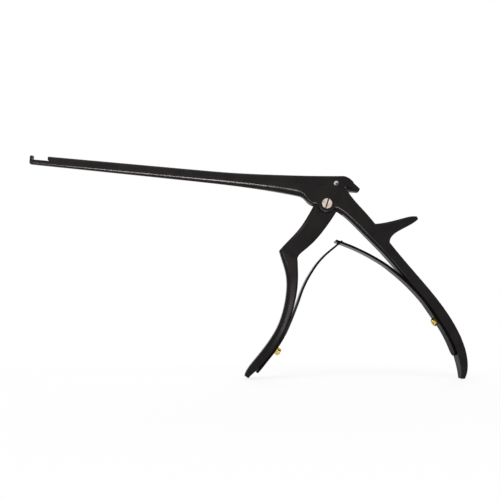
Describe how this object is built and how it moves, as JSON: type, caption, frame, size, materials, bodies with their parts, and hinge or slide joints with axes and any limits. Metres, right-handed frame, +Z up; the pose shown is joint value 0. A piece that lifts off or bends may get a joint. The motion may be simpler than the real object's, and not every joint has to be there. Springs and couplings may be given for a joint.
{
  "type": "bone rongeur",
  "caption": "One-hand bone punch: squeezing the sprung handles drives a slide along a slim shaft until its cutting rim meets an upright foot plate.",
  "frame": {"origin": "the palm saddle, in the hollow between the spur and the back of the rear handle, on the instrument's middle plane", "axes": "+X rearwards from the jaw to the palm, +Y across the instrument away from the pivot screw's head, +Z up; the shaft climbs 5.15 degrees towards the jaw"},
  "size_m": [0.286, 0.014, 0.1462],
  "materials": {
    "black_coating": "satin black ceramic-like coating on steel, no glare",
    "spring_coating": "black coated spring steel, a little smoother than the grips",
    "pale_steel": "fine turned face, warm pale steel",
    "pin_steel": "ground pin end, bright",
    "screw_brass": "polished gold-coloured screw head"
  },
  "bodies": {
    "frame": {"frame": "black_coating", "pivot_screw": "pale_steel", "rear_leaf_spring": "spring_coating", "rear_spring_screw": "screw_brass"},
    "lever": {"front_handle": "black_coating", "front_leaf_spring": "spring_coating", "front_spring_screw": "screw_brass"},
    "slide": {"slide": "black_coating", "drive_pin": "pin_steel"}
  },
  "joints": [
    {"name": "handle_squeeze", "type": "hinge", "parent": "frame", "child": "lever", "pos_m": [-0.04083, 0, 0.02266], "axis": [0, -1, 0], "range_deg": [0, 41.08], "stiffness_Nm_per_rad": 1.5, "springref_deg": -11.46, "deforming": ["front_leaf_spring", "rear_leaf_spring"]},
    {"name": "slide_travel", "type": "slide", "parent": "frame", "child": "slide", "axis": [-0.996, 0, 0.0898], "range_m": [0, 0.01016]}
  ],
  "couplings": [
    {"joint": "slide_travel", "follows": "handle_squeeze", "m_per_rad": 0.014156}
  ]
}
